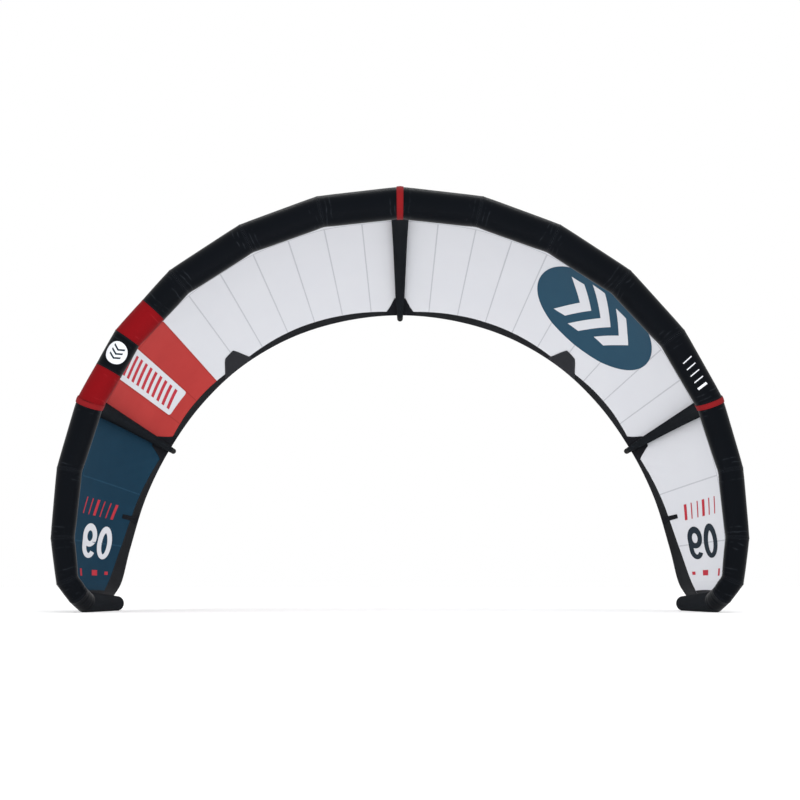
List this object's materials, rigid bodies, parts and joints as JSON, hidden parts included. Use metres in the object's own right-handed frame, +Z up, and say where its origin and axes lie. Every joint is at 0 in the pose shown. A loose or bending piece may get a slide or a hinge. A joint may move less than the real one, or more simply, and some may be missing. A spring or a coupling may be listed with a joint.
{
  "type": "kitesurfing kite",
  "caption": "Inflatable kitesurfing kite in red, white, blue and black, standing as an arch on its level wingtip tubes, with an inflated leading edge, struts and a seamed canopy.",
  "frame": {"origin": "centre of the bounding box, on the floor that the wingtip tubes rest on", "axes": "+X along the span towards the all-white half, -Y towards the leading edge, +Y towards the trailing edge, +Z up to the top of the arch"},
  "size_m": [3.8482, 1.84, 2.4148],
  "materials": {
    "black_sailcloth": "tightly woven polyester sailcloth, satin black",
    "red_sailcloth": "tightly woven polyester sailcloth, satin red",
    "red_webbing": "sewn red band",
    "white_ripstop": "coated ripstop polyester, white",
    "red_ripstop": "coated ripstop polyester, red",
    "blue_ripstop": "coated ripstop polyester, dark blue",
    "black_band": "sewn polyester reinforcement, matt black",
    "bumper_rubber": "moulded rubber, matt"
  },
  "bodies": {
    "root": {"batten_patch_left": "black_band", "batten_patch_right": "black_band", "canopy_left_01": "white_ripstop", "canopy_left_02": "white_ripstop", "canopy_left_03": "white_ripstop", "canopy_left_04": "white_ripstop", "canopy_left_05": "red_ripstop", "canopy_left_06": "blue_ripstop", "canopy_left_07": "blue_ripstop", "canopy_left_08": "blue_ripstop", "canopy_right_01": "white_ripstop", "canopy_right_02": "white_ripstop", "canopy_right_03": "white_ripstop", "canopy_right_04": "white_ripstop", "canopy_right_05": "white_ripstop", "canopy_right_06": "white_ripstop", "canopy_right_07": "white_ripstop", "canopy_right_08": "white_ripstop", "edge_patch_left": "black_band", "edge_patch_right": "black_band", "leading_edge_left_01": "black_sailcloth", "leading_edge_left_02": "black_sailcloth", "leading_edge_left_03": "black_sailcloth", "leading_edge_left_04": "black_sailcloth", "leading_edge_left_05": "red_sailcloth", "leading_edge_left_06": "black_sailcloth", "leading_edge_left_07": "red_sailcloth", "leading_edge_left_08": "black_sailcloth", "leading_edge_left_09": "black_sailcloth", "leading_edge_left_10": "black_sailcloth", "leading_edge_left_11": "black_sailcloth", "leading_edge_right_01": "black_sailcloth", "leading_edge_right_02": "black_sailcloth", "leading_edge_right_03": "black_sailcloth", "leading_edge_right_04": "black_sailcloth", "leading_edge_right_05": "black_sailcloth", "leading_edge_right_06": "black_sailcloth", "leading_edge_right_07": "black_sailcloth", "leading_edge_right_08": "black_sailcloth", "leading_edge_right_09": "black_sailcloth", "ring_band_centre": "red_webbing", "ring_band_left": "red_webbing", "ring_band_right": "red_webbing", "strut_bumper_centre": "bumper_rubber", "strut_bumper_left": "bumper_rubber", "strut_bumper_right": "bumper_rubber", "strut_centre": "black_sailcloth", "strut_left": "black_sailcloth", "strut_patch_centre": "black_band", "strut_patch_left": "black_band", "strut_patch_right": "black_band", "strut_right": "black_sailcloth", "trailing_edge_left_inner": "black_band", "trailing_edge_left_outer": "black_band", "trailing_edge_right_inner": "black_band", "trailing_edge_right_outer": "black_band", "wingtip_tube_left": "black_sailcloth", "wingtip_tube_right": "black_sailcloth"}
  },
  "joints": []
}
